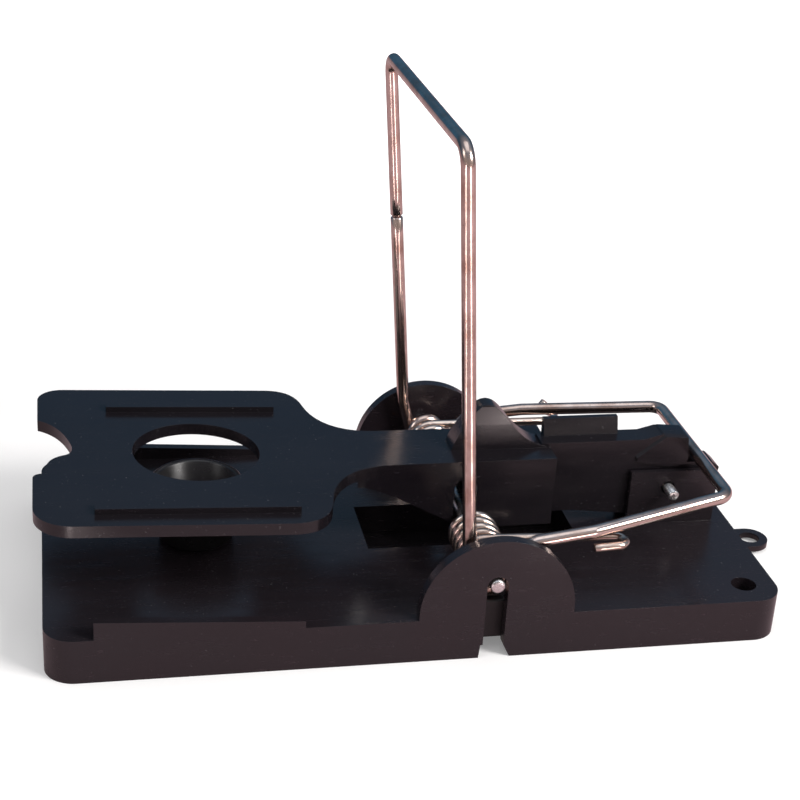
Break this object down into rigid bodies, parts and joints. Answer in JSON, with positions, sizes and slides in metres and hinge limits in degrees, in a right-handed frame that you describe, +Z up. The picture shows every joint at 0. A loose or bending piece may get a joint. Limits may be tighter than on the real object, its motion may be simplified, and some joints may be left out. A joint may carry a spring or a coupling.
{
  "type": "snap mouse trap",
  "caption": "Set snap mouse trap: black moulded base, trip paddle over a bait cup, bent wire hammer on a sprung axle, and a catch that holds the set bar.",
  "frame": {"origin": "centre of the base outline on the ground plane, on the underside of the centre stiffening rib", "axes": "+Z up, +X from the paddle end to the catch end along the trap's length, Y along the hammer axle"},
  "size_m": [0.1308, 0.0614, 0.0844],
  "materials": {
    "base_plastic": "satin moulded",
    "lever_plastic": "satin moulded",
    "cup_plastic": "matt moulded",
    "wire_steel": "drawn, polished",
    "spring_steel": "drawn",
    "rod_steel": "cut and drawn"
  },
  "bodies": {
    "base": {"base_shell": "base_plastic", "bait_cup": "cup_plastic", "near_axle_retainer": "base_plastic", "far_axle_retainer": "base_plastic", "trigger_pin": "rod_steel", "axle_rod": "rod_steel", "near_spring": "spring_steel", "far_spring": "spring_steel"},
    "hammer": {"hammer_frame": "wire_steel"},
    "trigger": {"trigger_pedal": "lever_plastic"}
  },
  "joints": [
    {"name": "hammer_swing", "type": "hinge", "parent": "base", "child": "hammer", "pos_m": [0.0104, 0, 0.0131], "axis": [0, -1, 0], "range_deg": [0, 82], "deforming": ["near_spring", "far_spring"]},
    {"name": "trigger_tilt", "type": "hinge", "parent": "base", "child": "trigger", "pos_m": [0.048, 0, 0.0146], "axis": [0, -1, 0], "range_deg": [0, 7.1]}
  ],
  "couplings": [
    {"joint": "trigger_tilt", "follows": "hammer_swing", "ratio": 0.085366}
  ]
}
